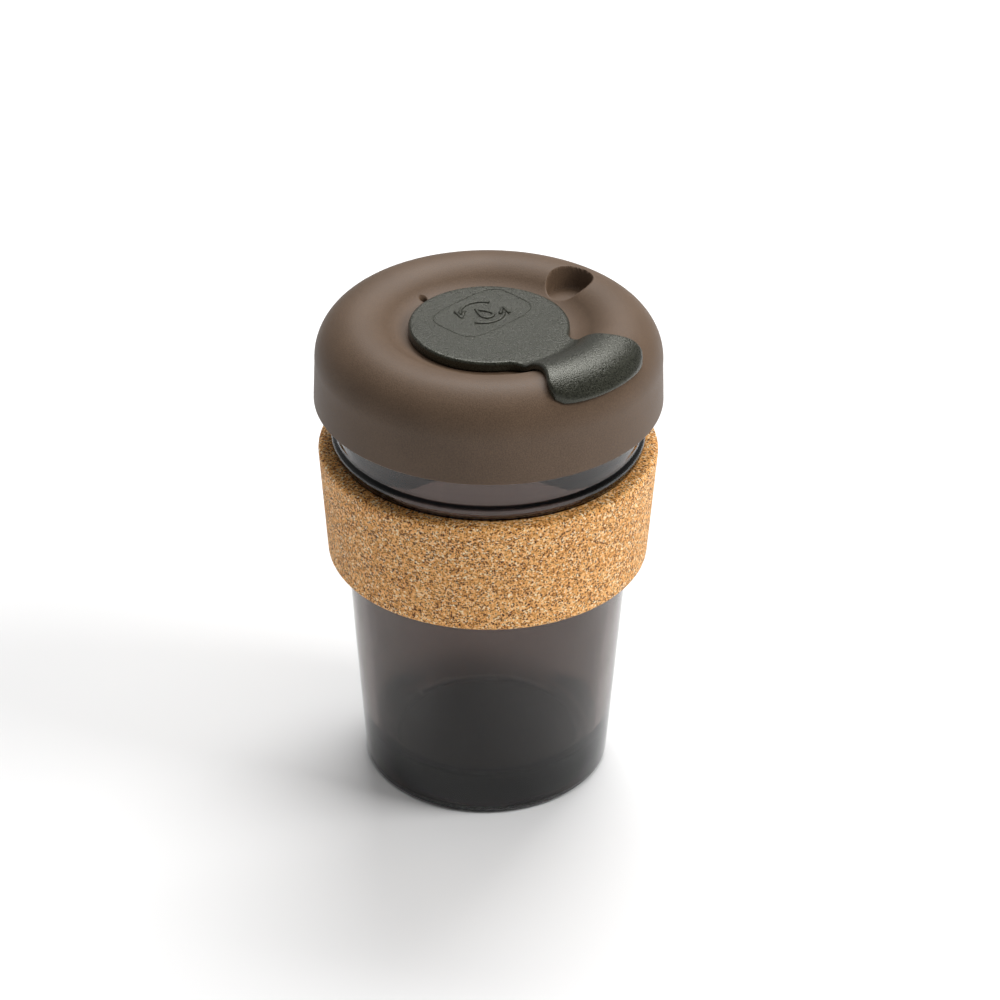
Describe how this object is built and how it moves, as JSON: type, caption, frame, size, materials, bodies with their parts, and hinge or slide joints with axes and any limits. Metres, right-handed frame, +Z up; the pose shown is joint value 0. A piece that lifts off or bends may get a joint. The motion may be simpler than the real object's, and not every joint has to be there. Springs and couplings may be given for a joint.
{
  "type": "reusable coffee cup",
  "caption": "Tapered glass coffee cup to go, with a cork hand band, a press-fit lid and a swivel plug that covers the sip hole.",
  "frame": {"origin": "middle of the foot ring, on the surface that the cup stands on", "axes": "+Z up along the cup's axis, -Y towards the sip hole, +X towards the place where the plug parks"},
  "size_m": [0.0896, 0.0896, 0.1343],
  "materials": {
    "smoke_glass": "polished smoke-grey glass",
    "cork": "fine pressed cork granules",
    "lid_plastic": "fine matt moulded plastic, taupe",
    "seal_rubber": "soft matt",
    "plug_plastic": "fine grained soft plastic, dark green-grey",
    "stopper_rubber": "soft matt"
  },
  "bodies": {
    "cup": {"glass_tumbler": "smoke_glass", "cork_band": "cork"},
    "lid": {"lid_shell": "lid_plastic", "lid_seal_ring": "seal_rubber"},
    "plug": {"swivel_plug": "plug_plastic", "sip_stopper": "stopper_rubber"}
  },
  "joints": [
    {"name": "lid_lift", "type": "slide", "parent": "cup", "child": "lid", "axis": [0, 0, 1], "range_m": [0, 0.05]},
    {"name": "plug_swivel", "type": "hinge", "parent": "lid", "child": "plug", "pos_m": [0, 0, 0.13], "axis": [0, 0, 1], "range_deg": [0, 90], "deforming": ["sip_stopper"]}
  ]
}
